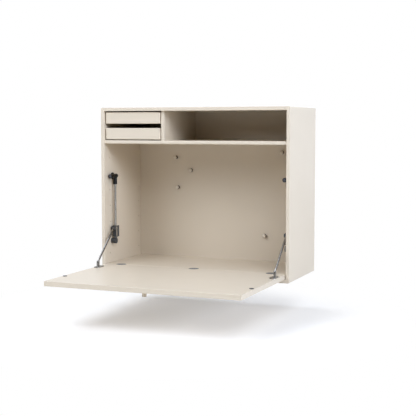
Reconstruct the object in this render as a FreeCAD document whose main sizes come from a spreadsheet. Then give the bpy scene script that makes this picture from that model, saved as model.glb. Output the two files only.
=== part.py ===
# Fold down wall desk: a lacquered wall cabinet with two shallow drawers, an open cubby and a drop flap.
# Millimetres. X runs to the right, Y into the wall and Z up. The wall is the plane y = 0, and the origin
# is the middle of the wall rail's screw holes. The flap is drawn open, as a desk top.
import FreeCAD, Part
import Sketcher
import os
import re

doc = FreeCAD.newDocument("fold_down_wall_desk")
sheet = doc.addObject("Spreadsheet::Sheet", "Sizes")

sizes = {
    # carcass
    "width": 696, "height": 582, "depth": 300, "board": 12, "corner_radius": 4, "arris": 1,
    "fixing_drop": 66, "back_board": 6, "wall_recess": 7,
    "cubby_height": 102, "shelf_board": 12, "shelf_setback": 4, "shelf_nose": 3,
    "divider_offset": 114, "divider_board": 12, "divider_setback": 12,
    # holes of the shelf grid in the side panels
    "hole_radius": 2.5, "hole_drilling": 8, "hole_step": 57, "hole_first": 63,
    "hole_front": 41, "hole_back": 20, "dowel_radius": 3, "dowel_length": 16,
    # drawers
    "drawer_gap": 3, "drawer_front_height": 40, "drawer_front_board": 12, "drawer_setback": 8,
    "drawer_front_edge": 2.5,
    "drawer_top_gap": 4, "drawer_back_room": 17, "drawer_side_board": 9, "drawer_side_height": 32,
    "drawer_bottom_board": 4, "drawer_bottom_rise": 5, "drawer_side_rise": 3,
    "runner_height": 10, "runner_bite": 4, "runner_back_gap": 20, "slide_clearance": 0.4,
    # flap and its hinges
    "flap_board": 16, "flap_under_gap": 0.5, "flap_side_gap": 2.5, "flap_top_gap": 1.5,
    "flap_recess": 2, "axis_drop": 2, "joint_front": 2.5, "joint_back": 0.5,
    "hinge_radius": 17.5, "hinge_depth": 10, "hinge_inset": 56, "knuckle_length": 10,
    "hinge_pin_radius": 1, "knuckle_clearance": 0.3, "cup_clearance": 0.3,
    "hinge_screw_offset": 9.5, "screw_radius": 1.5, "screw_head_radius": 3, "screw_head_height": 1.8,
    "screw_length": 12,
    # flap stays
    "stay_offset": 12, "rail_radius": 4, "rail_setback": 58, "rail_foot": 107, "rail_top_drop": 10,
    "bracket_drop": 30, "bracket_radius": 7, "bracket_boss_radius": 6, "barrel_tail": 9,
    "bracket_flange_radius": 12, "bracket_flange": 3,
    "catch_drop": 116, "catch_radius": 7.5, "magnet_radius": 5, "magnet_length": 10,
    "strike_radius": 7, "strike_thickness": 1.5, "catch_gap": 0.5,
    "foot_boss_radius": 10, "foot_boss_reach": 6, "foot_boss_lead": 4, "collar_radius": 5.5,
    "collar_height": 12,
    "slider_bottom": 121, "slider_height": 40, "slider_width": 14, "slider_play": 10.5,
    "slider_wall": 4, "window_width": 9, "window_bridge": 3,
    "pivot_setback": 44, "pivot_level": 153, "lug_radius": 6.5,
    "arm_radius": 3.5, "eye_radius": 4.5, "eye_thickness": 3.4, "pivot_pin_radius": 1.75,
    "pin_clearance": 0.05, "side_clearance": 0.4, "cheek": 1.4, "arm_foot_reach": 90, "arm_foot_rise": 19.5,
    "eye_reach": 12, "foot_plate_length": 48, "foot_plate_width": 20, "foot_plate_thickness": 3,
    "foot_plate_end": 9.5, "foot_plate_shift": 3.5, "foot_screw_offset": 16, "pin_head": 1,
    # pull knob and board magnets
    "knob_radius": 7, "knob_length": 18, "knob_inset": 41, "knob_edge": 1.5, "stud_radius": 2.5,
    "stud_length": 20,
    "board_magnet_radius": 6.5, "board_magnet_length": 10, "magnet_cap": 3, "magnet_cap_edge": 1,
    # wall fixing
    "wall_rail_height": 44, "wall_rail_sheet": 2, "wall_rail_inset": 36, "wall_lip_height": 16,
    "wall_hole_radius": 3, "wall_hole_inset": 72, "hook_gap": 0.4,
    "hanger_width": 60, "hanger_inset": 50, "hanger_plate_height": 70, "hanger_screw_length": 7,
    "bumper_radius": 10, "bumper_inset": 60,
}
for row, (alias, value) in enumerate(sizes.items(), start=1):
    sheet.set("A%d" % row, alias)
    sheet.set("B%d" % row, str(value))
    sheet.setAlias("B%d" % row, alias)
doc.recompute()

# places of the board magnets, as shares of half the inside width and of the shelf's level
magnet_places = {"first": (-0.554, 0.879), "second": (-0.372, 0.776), "third": (-0.53, 0.634),
                 "fourth": (0.494, 0.265), "fifth": (0.685, 0.928)}


def bound(text):
    # a formula in size names, with each name pointed at its cell
    return re.sub(r"\b[a-z_]+\b(?!\()", r"Sizes.\g<0>", str(text))


def drive(thing, **formulas):
    for name, formula in formulas.items():
        thing.setExpression(name, bound(formula))


def place(thing, at):
    for axis, formula in zip("xyz", at):
        thing.setExpression("Placement.Base." + axis, bound(formula))


def turn(thing, axis):
    # stands a shape made along z along another axis
    turns = {"x": ((0, 1, 0), 90), "-x": ((0, 1, 0), -90), "y": ((1, 0, 0), -90), "-y": ((1, 0, 0), 90)}
    if axis in turns:
        direction, angle = turns[axis]
        rotation = FreeCAD.Rotation(FreeCAD.Vector(*direction), angle)
        thing.Placement = FreeCAD.Placement(FreeCAD.Vector(), rotation)


def box(label, low, size):
    thing = doc.addObject("Part::Box", label)
    drive(thing, Length=size[0], Width=size[1], Height=size[2])
    place(thing, low)
    return thing


def rod(label, start, axis, radius, length):
    thing = doc.addObject("Part::Cylinder", label)
    turn(thing, axis)
    drive(thing, Radius=radius, Height=length)
    place(thing, start)
    return thing


def cone(label, start, axis, radius, end_radius, length):
    thing = doc.addObject("Part::Cone", label)
    turn(thing, axis)
    drive(thing, Radius1=radius, Radius2=end_radius, Height=length)
    place(thing, start)
    return thing


def cut(label, base, tools):
    thing = doc.addObject("Part::Cut", label)
    thing.Base = base
    thing.Tool = tools[0] if len(tools) == 1 else fuse(label + "_cutter", tools)
    return thing


def fuse(label, pieces):
    thing = doc.addObject("Part::MultiFuse", label)
    thing.Shapes = pieces
    return thing


def common(label, first, second):
    thing = doc.addObject("Part::Common", label)
    thing.Base = first
    thing.Tool = second
    return thing


def group(label, pieces):
    thing = doc.addObject("Part::Compound", label)
    thing.Links = pieces
    return thing


def rounded(label, base, radius, chosen):
    # rounds the edges of a shape that pass the test
    doc.recompute()
    thing = doc.addObject("Part::Fillet", label)
    thing.Base = base
    value = sheet.get(radius)
    edges = enumerate(base.Shape.Edges, start=1)
    thing.Edges = [(number, value, value) for number, edge in edges if chosen(edge)]
    return thing


def flat(body, role):
    return [item for item in body.Origin.OriginFeatures if item.Role == role][0]


def polygon(body, label, role, corners):
    # a closed outline whose corners are held at formulas from the sketch's origin
    sketch = body.newObject("Sketcher::SketchObject", label)
    sketch.AttachmentSupport = [(flat(body, role), "")]
    sketch.MapMode = "FlatFace"
    count = len(corners)
    first = FreeCAD.Vector(sheet.get("board"), 0, 0)
    upright = FreeCAD.Vector(0, 0, 1)
    turned = [FreeCAD.Rotation(upright, 360 / count * step).multVec(first) for step in range(count)]
    for index in range(count):
        sketch.addGeometry(Part.LineSegment(turned[index], turned[(index + 1) % count]), False)
    for index, (across, up) in enumerate(corners):
        sketch.addConstraint(Sketcher.Constraint("Coincident", index, 1, (index - 1) % count, 2))
        start = turned[index]
        for kind, formula, value in (("DistanceX", across, start.x), ("DistanceY", up, start.y)):
            number = sketch.addConstraint(Sketcher.Constraint(kind, -1, 1, index, 1, value))
            sketch.setExpression("Constraints[%d]" % number, bound(formula))
    return sketch


def board(label, low, size, radius=None, chosen=None):
    # a flat board with its edges eased
    body = doc.addObject("PartDesign::Body", label)
    sketch = polygon(body, label + "_outline", "XY_Plane",
                     [(0, 0), (size[0], 0), (size[0], size[1]), (0, size[1])])
    pad = body.newObject("PartDesign::Pad", label + "_pad")
    pad.Profile = sketch
    drive(pad, Length=size[2])
    place(body, low)
    doc.recompute()
    if radius:
        fillet = body.newObject("PartDesign::Fillet", label + "_arris")
        edges = enumerate(pad.Shape.Edges, start=1)
        names = ["Edge%d" % number for number, edge in edges
                 if chosen is None or chosen(edge.CenterOfGravity)]
        fillet.Base = (pad, names)
        drive(fillet, Radius=radius)
        body.Tip = fillet
    doc.recompute()
    return body


def along_front(edge):
    # the long and the round edges of a carcass panel's front, without its mitres
    is_front = abs(edge.CenterOfGravity.y + sheet.get("depth")) < 0.01
    return is_front and (edge.Length > 2 * sheet.get("board") or edge.Curve.TypeId == "Part::GeomCircle")


nodes = {}


def keep(label, thing):
    thing.Label = label
    nodes[label] = thing
    return thing


# formulas that several pieces share
half = "width / 2"
inside = "width / 2 - board"
bottom_level = "(fixing_drop - height)"
shelf_level = "(height - board - cubby_height - shelf_board)"
back_face = "0 - wall_recess - back_board"
inner_depth = "depth - wall_recess - back_board"
floor_top = bottom_level + " + board + flap_board + flap_under_gap"
axis_y = "0 - depth + flap_recess + flap_board - axis_drop"
axis_z = "(" + floor_top + " - axis_drop)"
stay_x = "(width / 2 - board - stay_offset)"
sides = {"left": -1, "right": 1}


def along(name):
    return "(" + bottom_level + " + " + name + ")"


def behind(name):
    return "(" + name + " - depth)"


# CARCASS: four mitred panels with rounded outer corners
block = doc.addObject("PartDesign::Body", "carcass_block")
block_outline = polygon(block, "block_outline", "XZ_Plane", [
    ("0 - " + half, bottom_level), (half, bottom_level),
    (half, along("height")), ("0 - " + half, along("height"))])
block_pad = block.newObject("PartDesign::Pad", "block_pad")
block_pad.Profile = block_outline
drive(block_pad, Length="depth")
doc.recompute()
block_corners = block.newObject("PartDesign::Fillet", "block_corners")
block_edges = enumerate(block_pad.Shape.Edges, start=1)
block_corners.Base = (block_pad, ["Edge%d" % number for number, edge in block_edges
                                  if abs(edge.CenterOfGravity.y + sheet.get("depth") / 2) < 0.01])
drive(block_corners, Radius="corner_radius")
doc.recompute()

panel_outlines = {
    "side_panel_left": [("0 - " + half, bottom_level), ("0 - (" + inside + ")", along("board")),
                        ("0 - (" + inside + ")", along("height") + " - board"),
                        ("0 - " + half, along("height"))],
    "side_panel_right": [(half, bottom_level), (half, along("height")),
                         (inside, along("height") + " - board"), (inside, along("board"))],
    "top_panel": [("0 - " + half, along("height")), ("0 - (" + inside + ")", along("height") + " - board"),
                  (inside, along("height") + " - board"), (half, along("height"))],
    "bottom_panel": [("0 - " + half, bottom_level), (half, bottom_level),
                     (inside, along("board")), ("0 - (" + inside + ")", along("board"))],
}
panels = {}
for label, corners in panel_outlines.items():
    blank = doc.addObject("PartDesign::Body", label + "_blank")
    outline = polygon(blank, label + "_outline", "XZ_Plane", corners)
    pad = blank.newObject("PartDesign::Pad", label + "_pad")
    pad.Profile = outline
    drive(pad, Length="depth")
    shaped = common(label + "_shaped", blank, block)
    panels[label] = rounded(label + "_eased", shaped, "arris", along_front)
keep("top_panel", panels["top_panel"])
keep("bottom_panel", panels["bottom_panel"])

# GRID HOLES and SHELF DOWELS in the side panels
dowels = []
shelf_dowel_holes = []
hole_columns = (behind("hole_front"), back_face + " - hole_back")
for side, sign in sides.items():
    inner = "%d * (%s)" % (sign, inside)
    outward = "x" if sign > 0 else "-x"
    holes = []
    for column in hole_columns:
        for step in range(7):
            level = along("hole_first + %d * hole_step" % step)
            holes.append(rod("grid_hole", (inner, column, level), outward, "hole_radius", "hole_drilling"))
        middle = along(shelf_level) + " + shelf_board / 2"
        start = "%s - %d * dowel_length / 2" % (inner, sign)
        dowels.append(rod("shelf_dowel", (start, column, middle), outward, "dowel_radius", "dowel_length"))
        holes.append(rod("dowel_hole", (start, column, middle), outward, "dowel_radius", "dowel_length"))
        shelf_dowel_holes.append(holes[-1])
    keep("side_panel_" + side, cut("side_panel_" + side, panels["side_panel_" + side], holes))
keep("shelf_dowels", group("shelf_dowels", dowels))

# BACK, SHELF, DIVIDER and INNER FLOOR
back_board = box("back_board", ("0 - (" + inside + ")", back_face, along("board")),
                 ("2 * (" + inside + ")", "back_board", "height - 2 * board"))
shelf = board("middle_shelf_board", ("0 - (" + inside + ")", behind("shelf_setback"), along(shelf_level)),
              ("2 * (" + inside + ")", inner_depth + " - shelf_setback", "shelf_board"), "shelf_nose",
              lambda point: point.y < 0.01 and abs(point.z - sheet.get("shelf_board") / 2) > 1)
keep("middle_shelf", cut("middle_shelf", shelf, shelf_dowel_holes))
shelf_top = along(shelf_level) + " + shelf_board"
divider_x = "(0 - divider_offset)"
keep("drawer_divider", board("drawer_divider",
                             (divider_x + " - divider_board / 2", behind("divider_setback"), shelf_top),
                             ("divider_board", inner_depth + " - divider_setback", "cubby_height"), "arris",
                             lambda point: point.y < 0.01
                             and abs(point.x - sheet.get("divider_board") / 2) > 1))
floor_front = axis_y + " + joint_back"
floor_board = board("inner_floor_board", ("0 - (" + inside + ")", floor_front, along("board")),
                    ("2 * (" + inside + ")",
                     inner_depth + " - flap_recess - flap_board + axis_drop - joint_back",
                     "flap_board + flap_under_gap"), "joint_back",
                    lambda point: point.y < 0.01 and point.z > 1 + sheet.get("flap_board") / 2)


def screw(label, head):
    # a countersunk wood screw driven downwards, its head flush at the given point
    x, y, z = head
    tip = z + " - screw_head_height - screw_length"
    return fuse(label, [cone(label + "_head", (x, y, z + " - screw_head_height"), "z", "screw_radius",
                             "screw_head_radius", "screw_head_height"),
                        rod(label + "_shank", (x, y, tip), "z", "screw_radius", "screw_length")])


# DRAWERS: two shallow trays on runner strips, each with a front, two sides, a back and a bottom
drawer_left = "(0 - (" + inside + ") + drawer_gap)"
drawer_width = "(width / 2 - board - divider_offset - divider_board / 2 - 2 * drawer_gap)"
drawer_right = "(" + drawer_left + " + " + drawer_width + ")"
box_front = behind("drawer_setback + drawer_front_board")
drawer_length = "(" + inner_depth + " - drawer_setback - drawer_front_board - drawer_back_room)"
runner_length = drawer_length + " - runner_back_gap"
runner_width = "drawer_gap + runner_bite"
groove_depth = "runner_bite + slide_clearance"
groove_height = "runner_height + 2 * slide_clearance"
front_bottoms = {
    "upper": along("height - board - drawer_top_gap - drawer_front_height"),
    "lower": shelf_top + " + drawer_gap",
}
runners = []
for tray, front_bottom in front_bottoms.items():
    name = "drawer_" + tray
    side_bottom = front_bottom + " + drawer_side_rise"
    groove_bottom = side_bottom + " + drawer_side_height / 2 - runner_height / 2"
    keep(name + "_front", board(name + "_front", (drawer_left, behind("drawer_setback"), front_bottom),
                                (drawer_width, "drawer_front_board", "drawer_front_height"),
                                "drawer_front_edge"))
    side_size = ("drawer_side_board", drawer_length, "drawer_side_height")
    groove_size = (groove_depth, drawer_length, groove_height)
    groove_low = groove_bottom + " - slide_clearance"
    side_lows = {"left": drawer_left, "right": drawer_right + " - drawer_side_board"}
    groove_lows = {"left": drawer_left, "right": drawer_right + " - " + groove_depth.replace("+", "-")}
    runner_lows = {"left": "0 - (" + inside + ")", "right": drawer_right + " - runner_bite"}
    for side in sides:
        blank = box(name + "_side_blank", (side_lows[side], box_front, side_bottom), side_size)
        groove = box(name + "_groove", (groove_lows[side], box_front, groove_low), groove_size)
        keep(name + "_side_" + side, cut(name + "_side_" + side, blank, [groove]))
        runners.append(box("runner", (runner_lows[side], box_front + " + slide_clearance", groove_bottom),
                           (runner_width, runner_length, "runner_height")))
    tray_left = drawer_left + " + drawer_side_board"
    tray_width = drawer_width + " - 2 * drawer_side_board"
    tray_back = box_front + " + " + drawer_length + " - drawer_side_board"
    keep(name + "_back", box(name + "_back", (tray_left, tray_back, side_bottom),
                             (tray_width, "drawer_side_board", "drawer_side_height")))
    tray_low = side_bottom + " + drawer_bottom_rise"
    keep(name + "_bottom", box(name + "_bottom", (tray_left, box_front, tray_low),
                               (tray_width, drawer_length + " - drawer_side_board", "drawer_bottom_board")))
keep("drawer_runners", group("drawer_runners", runners))

# FLAP and its FLUSH HINGES: round cups half in the flap and half in the inner floor
flap_half = "(width / 2 - board - flap_side_gap)"
flap_rear = axis_y + " - joint_front"
flap_reach = "(" + shelf_level + " - flap_top_gap - board - flap_board - flap_under_gap + axis_drop)"
flap_front = axis_y + " - " + flap_reach
flap_bottom = floor_top + " - flap_board"
flap_board = board("flap_board_blank", ("0 - " + flap_half, flap_front, flap_bottom),
                   ("2 * " + flap_half, flap_reach + " - joint_front", "flap_board"), "arris")
leaf_bottom = floor_top + " - hinge_depth"
leaf_gap = "(axis_drop + knuckle_clearance)"
wide = "2 * hinge_radius"
flap_leaves, floor_leaves, hinge_pins, flap_screws, floor_screws, cups = [], [], [], [], [], []
for place_along in (-1, 0, 1):
    x = "%d * (%s - hinge_inset)" % (place_along, inside)
    left = x + " - hinge_radius"
    cups.append(rod("hinge_cup", (x, axis_y, leaf_bottom), "z", "hinge_radius + cup_clearance",
                    "hinge_depth"))
    pin_start = x + " - knuckle_length - knuckle_clearance"
    pin_length = "2 * (knuckle_length + knuckle_clearance)"
    hinge_pins.append(rod("hinge_pin", (pin_start, axis_y, axis_z), "x", "hinge_pin_radius", pin_length))
    pin_hole = rod("hinge_pin_hole", (pin_start, axis_y, axis_z), "x", "hinge_pin_radius + pin_clearance",
                   pin_length)
    knuckles = {"flap": [(x + " - knuckle_length / 2", "knuckle_length")],
                "floor": [(pin_start, "knuckle_length / 2"),
                          (x + " + knuckle_length / 2 + knuckle_clearance", "knuckle_length / 2")]}
    cut_lows = {"flap": axis_y + " - " + leaf_gap, "floor": axis_y + " + " + leaf_gap + " - " + wide}
    tab_lows = {"flap": axis_y + " - " + leaf_gap, "floor": axis_y}
    screw_places = {"flap": axis_y + " - hinge_screw_offset", "floor": axis_y + " + hinge_screw_offset"}
    halves = (("flap", flap_leaves, flap_screws), ("floor", floor_leaves, floor_screws))
    for half_name, leaves, screws in halves:
        disc = rod("hinge_disc", (x, axis_y, leaf_bottom), "z", "hinge_radius", "hinge_depth")
        away = box("hinge_away", (left, cut_lows[half_name], leaf_bottom), (wide, wide, "hinge_depth"))
        solids = [cut("hinge_half_disc", disc, [away])]
        for start, length in knuckles[half_name]:
            solids.append(rod("knuckle", (start, axis_y, axis_z), "x", "axis_drop", length))
            solids.append(box("knuckle_tab", (start, tab_lows[half_name], axis_z + " - axis_drop"),
                              (length, leaf_gap, "2 * axis_drop")))
        fixing = screw("hinge_screw", (x, screw_places[half_name], floor_top))
        leaves.append(cut("hinge_leaf", fuse("hinge_leaf_blank", solids), [pin_hole, fixing]))
        screws.append(fixing)
keep("hinge_flap_leaves", group("hinge_flap_leaves", flap_leaves))
keep("hinge_floor_leaves", group("hinge_floor_leaves", floor_leaves))
keep("hinge_pins", group("hinge_pins", hinge_pins))
keep("hinge_flap_screws", group("hinge_flap_screws", flap_screws))
keep("hinge_floor_screws", group("hinge_floor_screws", floor_screws))
keep("inner_floor", cut("inner_floor", floor_board, cups + floor_screws))

# FLAP STAYS: a rail stood off each side panel, a slider on it and an arm down to a foot on the flap
foot_y = "(" + axis_y + " - arm_foot_reach)"
foot_z = "(" + floor_top + " + arm_foot_rise)"
pivot_y = behind("pivot_setback")
pivot_z = along("pivot_level")
rail_y = behind("rail_setback")
plate_top = floor_top + " + foot_plate_thickness"
lean = "(" + pivot_y + " - " + foot_y + ")"
rise = "(" + pivot_z + " - " + foot_z + ")"
arm_length = "sqrt(%s * %s + %s * %s)" % (lean, lean, rise, rise)
fork_gap = "(eye_thickness + 2 * side_clearance)"
fork_width = "(eye_thickness + 2 * side_clearance + 2 * cheek)"
catch_y = behind("flap_recess + flap_board + strike_thickness + catch_gap")
catch_level = shelf_level + " - catch_drop"
catch_z = along(catch_level)
strike_y = axis_y + " - (" + catch_z + " - " + axis_z + ")"
magnets, strikes, foot_screws, foot_pins = [], [], [], []
for side, sign in sides.items():
    x = "%d * %s" % (sign, stay_x)
    wall_x = "%d * (%s)" % (sign, inside)
    inward = "-x" if sign > 0 else "x"
    rail_length = catch_level + " - rail_top_drop - rail_foot"
    rail_start = (x, rail_y, along("rail_foot"))
    keep("stay_rail_" + side, rod("stay_rail_" + side, rail_start, "z", "rail_radius", rail_length))
    rail_hole = rod("rail_hole", rail_start, "z", "rail_radius + pin_clearance", rail_length)

    boss = rod("foot_boss", (wall_x, rail_y + " - foot_boss_lead", along("rail_foot")), inward,
               "foot_boss_radius", "stay_offset + foot_boss_reach")
    collar = rod("foot_collar", rail_start, "z", "collar_radius", "collar_height")
    lower_blank = fuse("lower_bracket_blank", [boss, collar])
    keep("stay_lower_bracket_" + side, cut("stay_lower_bracket_" + side, lower_blank, [rail_hole]))

    magnets.append(rod("catch_magnet", (x, catch_y, catch_z), "y", "magnet_radius", "magnet_length"))
    bracket = fuse("stay_bracket_blank", [
        rod("bracket_flange", (wall_x, rail_y, catch_z), inward, "bracket_flange_radius", "bracket_flange"),
        rod("bracket_boss", (wall_x, rail_y, catch_z), inward, "bracket_boss_radius", "stay_offset"),
        rod("bracket_socket", (x, rail_y, catch_z + " - bracket_drop"), "z", "bracket_radius",
            "bracket_drop"),
        rod("catch_barrel", (x, catch_y, catch_z), "y", "catch_radius",
            rail_y + " + barrel_tail - " + catch_y)])
    keep("stay_upper_bracket_" + side, cut("stay_upper_bracket_" + side, bracket, [rail_hole, magnets[-1]]))
    strikes.append(rod("catch_strike", (x, strike_y, floor_top), "z", "strike_radius", "strike_thickness"))

    channel_front = rail_y + " - rail_radius - slide_clearance"
    block_front = channel_front + " - slider_wall"
    block_depth = "slider_wall + slide_clearance + 2 * rail_radius + slider_play"
    slider_low = along("slider_bottom")
    pin_start = x + " - slider_width / 2"
    slider_blank = fuse("slider_blank", [
        box("slider_block", (pin_start, block_front, slider_low),
            ("slider_width", block_depth, "slider_height")),
        rod("slider_lug", (pin_start, pivot_y, pivot_z), "x", "lug_radius", "slider_width"),
        box("slider_web", (pin_start, pivot_y, pivot_z + " - lug_radius"),
            ("slider_width", block_front + " - " + pivot_y, "2 * lug_radius"))])
    channel = box("slider_channel", (x + " - rail_radius - slide_clearance", channel_front, slider_low),
                  ("2 * (rail_radius + slide_clearance)", block_depth, "slider_height"))
    fork_low = (x + " - " + fork_gap + " / 2", pivot_y + " - lug_radius", pivot_z + " - lug_radius")
    fork = box("slider_fork", fork_low,
               (fork_gap, "lug_radius + eye_radius + side_clearance", "2 * lug_radius"))
    window_start = {"left": x, "right": pin_start}[side]
    window_low = (window_start, rail_y + " - window_width / 2", slider_low + " + window_bridge")
    window = box("slider_window", window_low,
                 ("slider_width / 2", "window_width", "slider_height - 2 * window_bridge"))
    top_hole = rod("slider_pin_hole", (pin_start, pivot_y, pivot_z), "x", "pivot_pin_radius", "slider_width")
    keep("stay_slider_" + side, cut("stay_slider_" + side, slider_blank, [channel, fork, window, top_hole]))
    keep("slider_pin_" + side, rod("slider_pin_" + side, (pin_start, pivot_y, pivot_z), "x",
                                   "pivot_pin_radius", "slider_width"))

    eyes = []
    holes = []
    for level, tab_low in (("0", "0"), (arm_length, arm_length + " - eye_reach")):
        eyes.append(rod("arm_eye", ("0 - eye_thickness / 2", "0", level), "x", "eye_radius", "eye_thickness"))
        eyes.append(box("arm_tab", ("0 - eye_thickness / 2", "0 - arm_radius", tab_low),
                        ("eye_thickness", "2 * arm_radius", "eye_reach")))
        holes.append(rod("arm_hole", ("0 - eye_thickness / 2", "0", level), "x",
                         "pivot_pin_radius + pin_clearance", "eye_thickness"))
    shaft = rod("arm_shaft", ("0", "0", "eye_reach"), "z", "arm_radius", arm_length + " - 2 * eye_reach")
    arm = keep("stay_arm_" + side, cut("stay_arm_" + side, fuse("arm_blank", eyes + [shaft]), holes))
    arm.Placement = FreeCAD.Placement(FreeCAD.Vector(), FreeCAD.Rotation(FreeCAD.Vector(-1, 0, 0), 45))
    place(arm, (x, foot_y, foot_z))
    arm.setExpression("Placement.Rotation.Angle", bound("atan2(%s; %s)" % (lean, rise)))

    plate_x = x + " - %d * foot_plate_shift" % sign
    plate_low = (plate_x + " - foot_plate_width / 2", foot_y + " - foot_plate_length / 2", floor_top)
    plate = board("foot_plate", plate_low,
                  ("foot_plate_width", "foot_plate_length", "foot_plate_thickness"), "foot_plate_end",
                  lambda point: abs(point.z - sheet.get("foot_plate_thickness") / 2) < 0.01)
    fork_left = x + " - " + fork_width + " / 2"
    post = box("foot_post", (fork_left, foot_y + " - eye_radius", plate_top),
               (fork_width, "2 * eye_radius", "arm_foot_rise - foot_plate_thickness"))
    crown = rod("foot_crown", (fork_left, foot_y, foot_z), "x", "eye_radius", fork_width)
    slot_low = foot_z + " - eye_radius - side_clearance"
    slot = box("foot_slot", (x + " - " + fork_gap + " / 2", foot_y + " - 2 * eye_radius", slot_low),
               (fork_gap, "4 * eye_radius", "2 * eye_radius + 2 * side_clearance"))
    pin_hole = rod("foot_pin_hole", (fork_left, foot_y, foot_z), "x", "pivot_pin_radius", fork_width)
    foot_pins.append(rod("foot_pin", (fork_left + " - pin_head", foot_y, foot_z), "x", "pivot_pin_radius",
                         fork_width + " + 2 * pin_head"))
    plate_screws = [screw("foot_screw", (plate_x, foot_y + " + %d * foot_screw_offset" % end, plate_top))
                    for end in (-1, 1)]
    foot_screws += plate_screws
    keep("stay_foot_" + side, cut("stay_foot_" + side, fuse("foot_blank", [plate, post, crown]),
                                  [slot, pin_hole] + plate_screws))
keep("catch_magnets", group("catch_magnets", magnets))
keep("catch_strikes", group("catch_strikes", strikes))
keep("stay_foot_screws", group("stay_foot_screws", foot_screws))
keep("stay_foot_pins", group("stay_foot_pins", foot_pins))

# PULL KNOB under the flap's front edge, on a stud
knob_y = flap_front + " + knob_inset"
knob_bar = rod("knob_bar", ("0", knob_y, flap_bottom + " - knob_length"), "z", "knob_radius", "knob_length")
doc.recompute()
knob_low = knob_bar.Placement.Base.z
knob_round = rounded("knob_round", knob_bar, "knob_edge",
                     lambda edge: abs(edge.CenterOfGravity.z - knob_low) < 0.01)
stud = rod("knob_stud", ("0", knob_y, flap_bottom + " - stud_length / 2"), "z", "stud_radius", "stud_length")
keep("knob_stud", stud)
keep("pull_knob", cut("pull_knob", knob_round, [stud]))
keep("flap_panel", cut("flap_panel", flap_board, cups + flap_screws + foot_screws + [stud]))

# BOARD MAGNETS on the back panel: short round bars, each with a lacquered cap
board_magnets = []
magnet_caps = []
for across, level in magnet_places.values():
    x = "%s * (%s)" % (across, inside)
    z = along("%s * %s" % (level, shelf_level))
    magnet_front = back_face + " - board_magnet_length"
    board_magnets.append(rod("board_magnet", (x, magnet_front, z), "y", "board_magnet_radius",
                             "board_magnet_length"))
    disc = rod("magnet_cap_disc", (x, magnet_front + " - magnet_cap", z), "y", "board_magnet_radius",
               "magnet_cap")
    doc.recompute()
    face = disc.Placement.Base.y
    magnet_caps.append(rounded("magnet_cap_round", disc, "magnet_cap_edge",
                               lambda edge: abs(edge.CenterOfGravity.y - face) < 0.01))
keep("board_magnets", group("board_magnets", board_magnets))
keep("board_magnet_caps", group("board_magnet_caps", magnet_caps))

# WALL FIXING: a stepped steel rail on the wall, hooks on the cabinet's back and two bumpers
rail_half = "(width / 2 - board - wall_rail_inset)"
wall_rail_length = "2 * " + rail_half
rail_low = "0 - wall_rail_height / 2"
rail_high = "wall_rail_height / 2"
lip_y = "0 - 2 * wall_rail_sheet - 2 * hook_gap"
lip_top = rail_high + " + wall_lip_height"
lip_low = rail_high + " - wall_rail_sheet"
rail_blank = fuse("wall_rail_blank", [
    box("wall_rail_flat", ("0 - " + rail_half, "0 - wall_rail_sheet", rail_low),
        (wall_rail_length, "wall_rail_sheet", "wall_rail_height")),
    box("wall_rail_step", ("0 - " + rail_half, lip_y, lip_low),
        (wall_rail_length, "2 * wall_rail_sheet + 2 * hook_gap", "wall_rail_sheet")),
    box("wall_rail_lip", ("0 - " + rail_half, lip_y, lip_low),
        (wall_rail_length, "wall_rail_sheet", "wall_lip_height + wall_rail_sheet"))])
wall_hole_x = "(" + rail_half + " - wall_hole_inset)"
wall_holes = [rod("wall_hole", ("%d * %s" % (sign, wall_hole_x), "0 - wall_rail_sheet", "0"),
                  "y", "wall_hole_radius", "wall_rail_sheet") for sign in (-1, 1)]
keep("wall_rail", cut("wall_rail", rail_blank, wall_holes))
hangers, hanger_screws, bumpers = [], [], []
for sign in (-1, 1):
    middle = "%d * (%s - hanger_inset)" % (sign, rail_half)
    left = middle + " - hanger_width / 2"
    plate_low = lip_top + " + wall_rail_sheet - hanger_plate_height"
    hook_y = "0 - wall_rail_sheet - hook_gap / 2"
    blank = fuse("hanger_blank", [
        box("hanger_plate", (left, "0 - wall_recess", plate_low),
            ("hanger_width", "wall_rail_sheet", "hanger_plate_height")),
        box("hanger_top", (left, "0 - wall_recess", lip_top),
            ("hanger_width", "wall_recess - hook_gap / 2", "wall_rail_sheet")),
        box("hanger_hook", (left, hook_y, rail_high + " + hook_gap"),
            ("hanger_width", "wall_rail_sheet", "wall_lip_height + wall_rail_sheet - hook_gap"))])
    screw_y = "0 - wall_recess + wall_rail_sheet"
    screw_z = plate_low + " + hanger_width / 4"
    screws = [rod("hanger_screw", (middle + " + %d * hanger_width / 4" % end, screw_y, screw_z),
                  "-y", "screw_radius", "hanger_screw_length") for end in (-1, 1)]
    hangers.append(cut("hanger", blank, screws))
    hanger_screws += screws
    bumper_x = "%d * (%s - bumper_inset)" % (sign, inside)
    bumpers.append(rod("bumper", (bumper_x, "0 - wall_recess", along("bumper_inset")),
                       "y", "bumper_radius", "wall_recess"))
keep("wall_hangers", group("wall_hangers", hangers))
keep("hanger_screws", group("hanger_screws", hanger_screws))
keep("wall_bumpers", group("wall_bumpers", bumpers))
keep("back_panel", cut("back_panel", back_board, hanger_screws))

doc.recompute()
faults = [item.Name for item in doc.Objects if "Invalid" in item.State or "Error" in item.State]
for label, thing in nodes.items():
    if thing.Shape.isNull() or not thing.Shape.isValid():
        faults.append(label)
if faults:
    raise ValueError("not built: " + ", ".join(faults))
os.makedirs("parts", exist_ok=True)
for label, thing in nodes.items():
    thing.Shape.exportStep("parts/%s.step" % label)
    print("%-24s %2d solids %10.1f mm3" % (label, len(thing.Shape.Solids), thing.Shape.Volume))
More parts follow.
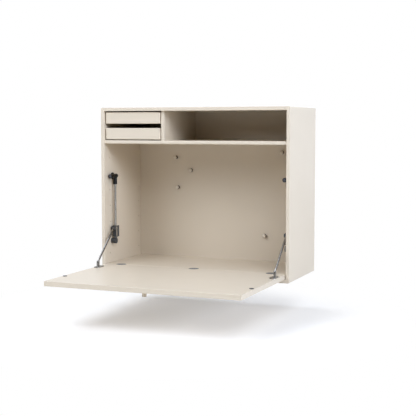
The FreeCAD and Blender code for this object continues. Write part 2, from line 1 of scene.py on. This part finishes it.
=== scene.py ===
import bpy
import math
import numpy as np
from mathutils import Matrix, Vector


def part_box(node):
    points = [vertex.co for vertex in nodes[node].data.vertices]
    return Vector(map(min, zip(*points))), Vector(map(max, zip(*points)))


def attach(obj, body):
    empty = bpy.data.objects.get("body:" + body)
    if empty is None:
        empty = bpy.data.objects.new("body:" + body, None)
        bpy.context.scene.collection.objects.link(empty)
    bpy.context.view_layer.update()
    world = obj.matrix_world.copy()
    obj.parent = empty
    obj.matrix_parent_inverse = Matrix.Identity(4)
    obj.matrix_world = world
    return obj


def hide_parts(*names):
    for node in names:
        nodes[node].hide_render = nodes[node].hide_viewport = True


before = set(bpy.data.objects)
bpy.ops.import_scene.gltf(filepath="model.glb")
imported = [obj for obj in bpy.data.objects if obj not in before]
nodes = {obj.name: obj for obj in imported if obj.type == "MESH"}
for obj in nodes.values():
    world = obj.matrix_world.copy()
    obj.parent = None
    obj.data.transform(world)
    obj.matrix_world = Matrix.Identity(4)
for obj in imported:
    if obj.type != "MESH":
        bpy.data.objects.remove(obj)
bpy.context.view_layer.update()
scene = bpy.context.scene

# sockets of a colour Mix node, by number because their names repeat for its other data types
mixFactor = 0
mixFrom = 6
mixTo = 7
mixResult = 2
white = (1.0, 1.0, 1.0, 1.0)


def linear(hexColour):
    # sRGB hex to the linear values that shaders take
    parts = np.array([int(hexColour[i:i + 2], 16) for i in (1, 3, 5)]) / 255.0
    parts = np.where(parts <= 0.04045, parts / 12.92, ((parts + 0.055) / 1.055) ** 2.4)
    return (*parts.tolist(), 1.0)


def perMetre(millimetres):
    # texture scale whose features are about this long
    return 1000.0 / millimetres


def addNode(tree, kind, values=None, links=None, **settings):
    # one shader node with its settings, its plain values and the outputs that feed it
    made = tree.nodes.new(kind)
    for name, value in settings.items():
        setattr(made, name, value)
    for socket, value in (values or {}).items():
        made.inputs[socket].default_value = value
    for socket, source in (links or {}).items():
        tree.links.new(source, made.inputs[socket])
    return made


def startMaterial(name):
    # a new material with its tree, its shader and the place on the piece that its patterns read
    material = bpy.data.materials.new(name)
    material.use_nodes = True
    tree = material.node_tree
    place = addNode(tree, "ShaderNodeTexCoord").outputs["Object"]
    return material, tree, tree.nodes["Principled BSDF"], place


# fibreboard sprayed with satin lacquer: a smooth cream skin with a soft sheen, a faint orange peel
# and a coat that is a touch thicker here and there
lacquerLook = {"colour": "#D6C8B3", "thickColour": "#D3C5AF", "cloudMm": 220,
               "roughness": 0.34, "sheenSpread": 0.04, "sheenMm": 60, "specular": 0.35,
               "peelMm": 2.0, "peelHeight": 0.00001, "peelStrength": 0.2}
satinLacquer, tree, shader, place = startMaterial("satinLacquer")
cloud = addNode(tree, "ShaderNodeTexNoise", {"Scale": perMetre(lacquerLook["cloudMm"]), "Detail": 2.0},
                {"Vector": place})
coat = addNode(tree, "ShaderNodeMix",
               {mixFrom: linear(lacquerLook["colour"]), mixTo: linear(lacquerLook["thickColour"])},
               {mixFactor: cloud.outputs["Fac"]}, data_type="RGBA")
spray = addNode(tree, "ShaderNodeTexNoise", {"Scale": perMetre(lacquerLook["sheenMm"]), "Detail": 2.0},
                {"Vector": place})
sheen = addNode(tree, "ShaderNodeMapRange",
                {"To Min": lacquerLook["roughness"] - lacquerLook["sheenSpread"],
                 "To Max": lacquerLook["roughness"] + lacquerLook["sheenSpread"]},
                {"Value": spray.outputs["Fac"]})
peel = addNode(tree, "ShaderNodeTexNoise", {"Scale": perMetre(lacquerLook["peelMm"]), "Detail": 1.0},
               {"Vector": place})
bump = addNode(tree, "ShaderNodeBump",
               {"Strength": lacquerLook["peelStrength"], "Distance": lacquerLook["peelHeight"]},
               {"Height": peel.outputs["Fac"]})
shader.inputs["Specular IOR Level"].default_value = lacquerLook["specular"]
tree.links.new(coat.outputs[mixResult], shader.inputs["Base Color"])
tree.links.new(sheen.outputs["Result"], shader.inputs["Roughness"])
tree.links.new(bump.outputs["Normal"], shader.inputs["Normal"])

# grained woods: birch ply trays with long pale grain, and turned beech dowels with short darker flecks
woodLooks = {
    "trayBirch": {"pale": "#DCCFB8", "dark": "#CDBD9F", "grainMm": 4.0, "along": (1.0, 0.06, 1.0),
                  "roughness": 0.55},
    "turnedBeech": {"pale": "#D2A679", "dark": "#B98655", "grainMm": 1.5, "along": (0.12, 1.0, 1.0),
                    "roughness": 0.6},
}
woodRelief = {"Strength": 0.2, "Distance": 0.0001}
woods = {}
for name, look in woodLooks.items():
    woods[name], tree, shader, place = startMaterial(name)
    drawn = addNode(tree, "ShaderNodeMapping", {"Scale": look["along"]}, {"Vector": place})
    grain = addNode(tree, "ShaderNodeTexNoise", {"Scale": perMetre(look["grainMm"]), "Detail": 5.0},
                    {"Vector": drawn.outputs["Vector"]})
    figure = addNode(tree, "ShaderNodeMix", {mixFrom: linear(look["dark"]), mixTo: linear(look["pale"])},
                     {mixFactor: grain.outputs["Fac"]}, data_type="RGBA")
    bump = addNode(tree, "ShaderNodeBump", woodRelief, {"Height": grain.outputs["Fac"]})
    tree.links.new(figure.outputs[mixResult], shader.inputs["Base Color"])
    tree.links.new(bump.outputs["Normal"], shader.inputs["Normal"])
    shader.inputs["Roughness"].default_value = look["roughness"]

# metals: cast zinc under a grey coat, zinc plated and blackened sheet with a crystal mottle, nickel plated
# arms, and bright rails with fine drawing lines along z, drawn coarser than the real ones so that they show
metalLooks = {
    "castZinc": {"colour": "#80858A", "dull": "#6F7477", "roughness": 0.42, "metallic": 0.6,
                 "grainMm": 1.2, "along": 1.0},
    "zincPlatedSteel": {"colour": "#A6A39F", "dull": "#86847F", "roughness": 0.34, "metallic": 1.0,
                        "grainMm": 3.0, "along": 1.0},
    "drawnSteel": {"colour": "#B6B4B0", "dull": "#9E9B96", "roughness": 0.25, "metallic": 1.0,
                   "grainMm": 0.8, "along": 0.03},
    "nickelPlatedSteel": {"colour": "#8F8C88", "dull": "#797672", "roughness": 0.2, "metallic": 1.0,
                          "grainMm": 1.5, "along": 1.0},
    "blackenedSteel": {"colour": "#55555F", "dull": "#45454E", "roughness": 0.42, "metallic": 0.8,
                       "grainMm": 2.0, "along": 1.0},
}
metalRelief = {"Strength": 0.15, "Distance": 0.00005}
metalGloss = {"grainFrom": 0.25, "grainTo": 0.75, "rougherBy": 0.08, "smootherBy": 0.06}
metals = {}
for name, look in metalLooks.items():
    metals[name], tree, shader, place = startMaterial(name)
    drawn = addNode(tree, "ShaderNodeMapping", {"Scale": (1.0, 1.0, look["along"])}, {"Vector": place})
    grain = addNode(tree, "ShaderNodeTexNoise", {"Scale": perMetre(look["grainMm"]), "Detail": 4.0},
                    {"Vector": drawn.outputs["Vector"]})
    skin = addNode(tree, "ShaderNodeMix", {mixFrom: linear(look["dull"]), mixTo: linear(look["colour"])},
                   {mixFactor: grain.outputs["Fac"]}, data_type="RGBA")
    gloss = addNode(tree, "ShaderNodeMapRange",
                    {"From Min": metalGloss["grainFrom"], "From Max": metalGloss["grainTo"],
                     "To Min": look["roughness"] + metalGloss["rougherBy"],
                     "To Max": look["roughness"] - metalGloss["smootherBy"]},
                    {"Value": grain.outputs["Fac"]})
    bump = addNode(tree, "ShaderNodeBump", metalRelief, {"Height": grain.outputs["Fac"]})
    tree.links.new(skin.outputs[mixResult], shader.inputs["Base Color"])
    tree.links.new(gloss.outputs["Result"], shader.inputs["Roughness"])
    tree.links.new(bump.outputs["Normal"], shader.inputs["Normal"])
    shader.inputs["Metallic"].default_value = look["metallic"]

# mouldings: glass-filled nylon and rubber with a spark-eroded skin, pressed ferrite with a sandy one and
# lacquered magnet caps, all with a sheen that changes where they are handled
mouldedLooks = {
    "blackNylon": {"colour": "#030304", "worn": "#070708", "roughness": 0.42, "pitMm": 0.7, "ior": 1.4},
    "greyNylon": {"colour": "#333436", "worn": "#434446", "roughness": 0.42, "pitMm": 0.7, "ior": 1.5},
    "whiteNylon": {"colour": "#D9D8D2", "worn": "#E6E5E0", "roughness": 0.45, "pitMm": 0.9, "ior": 1.53},
    "blackRubber": {"colour": "#17171A", "worn": "#222226", "roughness": 0.75, "pitMm": 1.2, "ior": 1.52},
    "greyFerrite": {"colour": "#323137", "worn": "#424147", "roughness": 0.5, "pitMm": 0.5, "ior": 1.6},
    "ivoryCap": {"colour": "#E3D8C5", "worn": "#D8CCB8", "roughness": 0.3, "pitMm": 1.0, "ior": 1.5},
    "brownFerrite": {"colour": "#33241A", "worn": "#3E2D21", "roughness": 0.6, "pitMm": 0.5, "ior": 1.4},
}
mouldedRelief = {"Strength": 0.3, "Distance": 0.00004}
handledGloss = {"smearMm": 14, "smearFrom": 0.3, "smearTo": 0.7, "changeBy": 0.08}
moulded = {}
for name, look in mouldedLooks.items():
    moulded[name], tree, shader, place = startMaterial(name)
    pitted = addNode(tree, "ShaderNodeTexNoise", {"Scale": perMetre(look["pitMm"]), "Detail": 3.0},
                     {"Vector": place})
    smear = addNode(tree, "ShaderNodeTexNoise", {"Scale": perMetre(handledGloss["smearMm"]), "Detail": 3.0},
                    {"Vector": place})
    skin = addNode(tree, "ShaderNodeMix", {mixFrom: linear(look["colour"]), mixTo: linear(look["worn"])},
                   {mixFactor: smear.outputs["Fac"]}, data_type="RGBA")
    gloss = addNode(tree, "ShaderNodeMapRange",
                    {"From Min": handledGloss["smearFrom"], "From Max": handledGloss["smearTo"],
                     "To Min": look["roughness"] + handledGloss["changeBy"],
                     "To Max": look["roughness"] - handledGloss["changeBy"]},
                    {"Value": smear.outputs["Fac"]})
    bump = addNode(tree, "ShaderNodeBump", mouldedRelief, {"Height": pitted.outputs["Fac"]})
    tree.links.new(skin.outputs[mixResult], shader.inputs["Base Color"])
    tree.links.new(gloss.outputs["Result"], shader.inputs["Roughness"])
    tree.links.new(bump.outputs["Normal"], shader.inputs["Normal"])
    shader.inputs["IOR"].default_value = look["ior"]
print("materials made:", 1 + len(woods) + len(metals) + len(moulded))

# one finish for each slot of the record, and a finish of their own for a few nodes
finishes = {"lacquer": satinLacquer, "tray_board": woods["trayBirch"], "beech": woods["turnedBeech"],
            "zinc": metals["castZinc"], "zinc_plated_steel": metals["zincPlatedSteel"],
            "bright_steel": metals["drawnSteel"], "grey_plastic": moulded["greyNylon"],
            "black_plastic": moulded["blackNylon"], "nylon": moulded["whiteNylon"],
            "magnet": moulded["greyFerrite"], "rubber": moulded["blackRubber"]}
for node in nodes.values():
    for slot in node.material_slots:
        slot.material = finishes[slot.material.name.split(".")[0]]
ownFinishes = {"catch_strikes": metals["blackenedSteel"], "board_magnets": moulded["brownFerrite"],
               "stay_arm_left": metals["nickelPlatedSteel"], "stay_arm_right": metals["nickelPlatedSteel"]}
for name, finish in ownFinishes.items():
    nodes[name].material_slots[0].material = finish
print("finishes given to", len(nodes), "nodes")

solidReach = 0.02  # metres; points nearer than this are on the same screw or cap
sharpDegrees = 35  # folds steeper than this stay crisp


def middlesOf(name):
    # middle of each separate solid of a node: the points within reach of the first one left are one solid
    vertices = nodes[name].data.vertices
    points = np.empty(len(vertices) * 3)
    vertices.foreach_get("co", points)
    points = points.reshape(-1, 3)
    found = []
    while len(points):
        near = np.linalg.norm(points - points[0], axis=1) < solidReach
        found.append((points[near].min(axis=0) + points[near].max(axis=0)) / 2)
        points = points[~near]
    return np.array(found)


def turnedPiece(name, radius, height, middles, axes, finish):
    # rings of points about an axis, one ring for each row of the grids, closed by a point at either end
    # and repeated at every middle; axes has the world directions of the ring's two axes and of its height
    rows, columns = radius.shape
    angle = np.linspace(0.0, 2 * math.pi, columns, endpoint=False)
    ring = np.stack([radius * np.cos(angle), radius * np.sin(angle), height], axis=-1).reshape(-1, 3)
    one = np.vstack([[[0.0, 0.0, height[0].mean()]], ring, [[0.0, 0.0, height[-1].mean()]]]) @ axes
    corner = 1 + np.arange(rows * columns).reshape(rows, columns)
    after = np.roll(corner, -1, axis=1)
    quads = np.stack([corner[:-1], corner[1:], after[1:], after[:-1]], axis=-1).reshape(-1, 4)
    first = np.stack([np.zeros(columns, dtype=int), corner[0], after[0]], axis=-1)
    last = np.stack([np.full(columns, len(one) - 1), after[-1], corner[-1]], axis=-1)
    steps = np.arange(len(middles))[:, None, None] * len(one)
    groups = [(group + steps).reshape(-1, group.shape[1]).tolist() for group in (quads, first, last)]
    mesh = bpy.data.meshes.new(name)
    mesh.from_pydata((one + middles[:, None, :]).reshape(-1, 3).tolist(), [], sum(groups, []))
    mesh.polygons.foreach_set("use_smooth", np.ones(len(mesh.polygons), dtype=bool))
    mesh.set_sharp_from_angle(angle=math.radians(sharpDegrees))
    mesh.materials.append(finish)
    piece = bpy.data.objects.new(name, mesh)
    scene.collection.objects.link(piece)
    return piece


# wood screws, head up: the face is a flat disc with a cross recess, whose depth falls in a straight line
# from the middle to each arm's end and only within half an arm's width of either axis; below it a cone
# narrows to the shank, and the thread is a cosine of the turn along the shank less the angle round it
screwLook = {"headRadius": 0.00296, "headHeight": 0.0018, "shankRadius": 0.0015, "shankLength": 0.012,
             "recessDepth": 0.0013, "recessArm": 0.002, "recessHalf": 0.00042, "recessWall": 0.0002,
             "turns": 9, "threadDepth": 0.00032, "neckShare": 0.1, "tipLength": 0.0022, "tipShare": 0.08,
             "innerShare": 0.04, "faceRows": 26, "rowsPerTurn": 6, "columns": 60}
turn = np.linspace(0.0, 2 * math.pi, screwLook["columns"], endpoint=False)
outwards = np.linspace(screwLook["innerShare"], 1.0, screwLook["faceRows"])[:, None]
faceRadius = outwards * screwLook["headRadius"] * np.ones_like(turn)
across = np.abs(faceRadius * np.cos(turn))
along = np.abs(faceRadius * np.sin(turn))
taper = np.clip(1.0 - np.maximum(across, along) / screwLook["recessArm"], 0.0, 1.0)
inside = screwLook["recessHalf"] - np.minimum(across, along)
wall = np.clip(inside / screwLook["recessWall"] + 0.5, 0.0, 1.0)
faceHeight = -screwLook["recessDepth"] * taper * wall
share = np.linspace(0.0, 1.0, screwLook["rowsPerTurn"] * screwLook["turns"])[:, None]
thread = 0.5 - 0.5 * np.cos(2 * math.pi * screwLook["turns"] * share - turn)
cut = screwLook["threadDepth"] * thread * (share > screwLook["neckShare"])
fromTip = (1.0 - share) * screwLook["shankLength"] / screwLook["tipLength"]
shankRadius = (screwLook["shankRadius"] - cut) * np.clip(fromTip, screwLook["tipShare"], 1.0)
shankHeight = -screwLook["headHeight"] - screwLook["shankLength"] * share * np.ones_like(turn)
screwRadius = np.vstack([faceRadius, shankRadius])
screwHeight = np.vstack([faceHeight, shankHeight])
screwSets = {"hinge_flap_screws": "flap", "hinge_floor_screws": "cabinet", "stay_foot_screws": "flap"}
headUp = np.eye(3)
for name, body in screwSets.items():
    heads = middlesOf(name)
    heads[:, 2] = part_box(name)[1][2]
    screws = turnedPiece(name + "_driven", screwRadius, screwHeight, heads, headUp,
                         metals["zincPlatedSteel"])
    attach(screws, body)
    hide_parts(name)
    print(name, "made:", len(heads), "screws,", len(screws.data.polygons), "faces")

# magnet caps: a flattened dome, radius as the 0.4 power of a sine and height as the cosine of one angle,
# on a flat foot against the magnet
capLook = {"radius": 0.0065, "height": 0.003, "power": 0.4, "firstLean": 0.0005, "footShare": 0.5,
           "rows": 22, "columns": 48}
lean = np.linspace(capLook["firstLean"], math.pi / 2, capLook["rows"])[:, None]
lean = lean * np.ones(capLook["columns"])
domeRadius = capLook["radius"] * np.sin(lean) ** capLook["power"]
domeHeight = capLook["height"] * np.cos(lean)
capRadius = np.vstack([domeRadius, domeRadius[-1:] * capLook["footShare"]])
capHeight = np.vstack([domeHeight, domeHeight[-1:]])
capMiddles = middlesOf("board_magnet_caps")
capMiddles[:, 1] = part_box("board_magnet_caps")[1][1]
faceForward = np.array([[1.0, 0.0, 0.0], [0.0, 0.0, 1.0], [0.0, -1.0, 0.0]])
caps = turnedPiece("board_magnet_caps_domed", capRadius, capHeight, capMiddles, faceForward,
                   moulded["ivoryCap"])
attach(caps, "cabinet")
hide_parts("board_magnet_caps")
print("magnet caps made:", len(capMiddles), "domes,", len(caps.data.polygons), "faces")

# pale floor 12 cm under the desk: it keeps the soft shadow and fades to plain white further out, and in
# reflections that white dims towards the front
floorLook = {"level": -0.645, "reach": 12.0, "colour": "#E5E1DB", "mottled": "#E8E4DE", "mottleMm": 40,
             "roughness": 0.9, "lift": 0.3, "middle": (-0.03, -0.37), "fadeFrom": 0.42, "fadeTo": 0.8,
             "darkFrom": -2.5, "darkTo": -0.7}
side = floorLook["reach"]
corners = [(-side, -side, floorLook["level"]), (side, -side, floorLook["level"]),
           (side, side, floorLook["level"]), (-side, side, floorLook["level"])]
floorMesh = bpy.data.meshes.new("paleFloor")
floorMesh.from_pydata(corners, [], [(0, 1, 2, 3)])
floor = bpy.data.objects.new("paleFloor", floorMesh)
scene.collection.objects.link(floor)
floorPaint, tree, shader, place = startMaterial("floorPaint")
mottle = addNode(tree, "ShaderNodeTexNoise", {"Scale": perMetre(floorLook["mottleMm"]), "Detail": 4.0},
                 {"Vector": place})
paint = addNode(tree, "ShaderNodeMix",
                {mixFrom: linear(floorLook["colour"]), mixTo: linear(floorLook["mottled"])},
                {mixFactor: mottle.outputs["Fac"]}, data_type="RGBA")
path = addNode(tree, "ShaderNodeLightPath")
seen = addNode(tree, "ShaderNodeMath", operation="MAXIMUM",
               links={0: path.outputs["Is Camera Ray"], 1: path.outputs["Is Glossy Ray"]})
lift = addNode(tree, "ShaderNodeMath", {1: floorLook["lift"]}, {0: seen.outputs["Value"]},
               operation="MULTIPLY")
tree.links.new(paint.outputs[mixResult], shader.inputs["Base Color"])
tree.links.new(lift.outputs["Value"], shader.inputs["Emission Strength"])
shader.inputs["Emission Color"].default_value = white
shader.inputs["Roughness"].default_value = floorLook["roughness"]
shader.inputs["Specular IOR Level"].default_value = 0.0
apart = addNode(tree, "ShaderNodeVectorMath", {1: (*floorLook["middle"], floorLook["level"])}, {0: place},
                operation="DISTANCE")
fade = addNode(tree, "ShaderNodeMapRange",
               {"From Min": floorLook["fadeFrom"], "From Max": floorLook["fadeTo"]},
               {"Value": apart.outputs["Value"]}, interpolation_type="SMOOTHSTEP")
depth = addNode(tree, "ShaderNodeSeparateXYZ", links={0: place})
near = addNode(tree, "ShaderNodeMapRange",
               {"From Min": floorLook["darkFrom"], "From Max": floorLook["darkTo"]},
               {"Value": depth.outputs["Y"]})
shown = addNode(tree, "ShaderNodeMath", operation="MULTIPLY_ADD",
                links={0: path.outputs["Is Glossy Ray"], 1: near.outputs["Result"],
                       2: path.outputs["Is Camera Ray"]})
plain = addNode(tree, "ShaderNodeMath", operation="MULTIPLY",
                links={0: fade.outputs["Result"], 1: shown.outputs["Value"]})
glow = addNode(tree, "ShaderNodeEmission", {"Color": white, "Strength": 1.0})
both = addNode(tree, "ShaderNodeMixShader",
               links={0: plain.outputs["Value"], 1: shader.outputs["BSDF"], 2: glow.outputs["Emission"]})
tree.links.new(both.outputs["Shader"], tree.nodes["Material Output"].inputs["Surface"])
floorMesh.materials.append(floorPaint)
print("floor laid")

# world: white to the camera and through glass, and in reflections a room that darkens towards the front;
# it gives the pieces no other light
worldLook = {"backBright": 0.85, "frontDark": 0.04, "darkFrom": -0.45, "darkTo": 0.3}
world = bpy.data.worlds.new("studio")
scene.world = world
world.use_nodes = True
tree = world.node_tree
tree.nodes.clear()
path = addNode(tree, "ShaderNodeLightPath")
direction = addNode(tree, "ShaderNodeTexCoord")
depth = addNode(tree, "ShaderNodeSeparateXYZ", links={0: direction.outputs["Generated"]})
room = addNode(tree, "ShaderNodeMapRange",
               {"From Min": worldLook["darkFrom"], "From Max": worldLook["darkTo"],
                "To Min": worldLook["frontDark"], "To Max": worldLook["backBright"]},
               {"Value": depth.outputs["Y"]})
mirrored = addNode(tree, "ShaderNodeMath", operation="MULTIPLY",
                   links={0: path.outputs["Is Glossy Ray"], 1: room.outputs["Result"]})
straight = addNode(tree, "ShaderNodeMath", operation="MAXIMUM",
                   links={0: path.outputs["Is Camera Ray"], 1: path.outputs["Is Transmission Ray"]})
shown = addNode(tree, "ShaderNodeMath", operation="MAXIMUM",
                links={0: straight.outputs["Value"], 1: mirrored.outputs["Value"]})
backdrop = addNode(tree, "ShaderNodeBackground", {"Color": white}, {"Strength": shown.outputs["Value"]})
addNode(tree, "ShaderNodeOutputWorld", links={"Surface": backdrop.outputs["Background"]})

# soft boxes around the desk, each set by its bearing from the front, with plus to the right, its height
# angle and its distance
softBoxes = {
    "keyBox": {"bearing": -34, "height": 30, "away": 4.0, "wide": 2.1, "high": 2.1,
               "watts": 96, "colour": "#E9F1FF"},
    "frontBox": {"bearing": 42, "height": 38, "away": 4.0, "wide": 2.1, "high": 2.1,
                 "watts": 102, "colour": "#E9F1FF"},
    "rightBox": {"bearing": 80, "height": 14, "away": 4.0, "wide": 2.0, "high": 1.0,
                 "watts": 107, "colour": "#DCE8FF"},
    "leftBox": {"bearing": -105, "height": 66, "away": 2.6, "wide": 2.2, "high": 2.2,
                "watts": 61, "colour": "#E9F1FF"},
    "backBox": {"bearing": 180, "height": 15, "away": 3.2, "wide": 2.0, "high": 2.0,
                "watts": 18, "colour": "#E9F1FF"},
}
lightAim = np.array([0.0, -0.35, -0.25])  # middle of the open desk
for name, lamp in softBoxes.items():
    bearing = math.radians(lamp["bearing"])
    height = math.radians(lamp["height"])
    level = math.cos(height)
    toLamp = np.array([math.sin(bearing) * level, -math.cos(bearing) * level, math.sin(height)])
    light = bpy.data.lights.new(name, "AREA")
    light.shape = "RECTANGLE"
    light.size = lamp["wide"]
    light.size_y = lamp["high"]
    light.energy = lamp["watts"]
    light.color = linear(lamp["colour"])[:3]
    holder = bpy.data.objects.new(name, light)
    scene.collection.objects.link(holder)
    holder.location = lightAim + lamp["away"] * toLamp
    holder.rotation_euler = (math.pi / 2 - height, 0.0, bearing)
print("soft boxes set:", len(softBoxes))

# camera at the photograph's place: right of the desk, just under the level of its top
cameraPlace = {"at": (1.2854, -3.2914, 0.0016), "yaw": 22.2785, "pitch": 4.8879, "lens": 82.849,
               "sensor": 36.0}
cameraData = bpy.data.cameras.new("camera")
cameraData.lens = cameraPlace["lens"]
cameraData.sensor_width = cameraPlace["sensor"]
camera = bpy.data.objects.new("camera", cameraData)
camera.location = cameraPlace["at"]
camera.rotation_euler = (math.radians(90 - cameraPlace["pitch"]), 0.0, math.radians(cameraPlace["yaw"]))
scene.collection.objects.link(camera)
scene.camera = camera
scene.view_settings.view_transform = "Standard"
print("camera set")
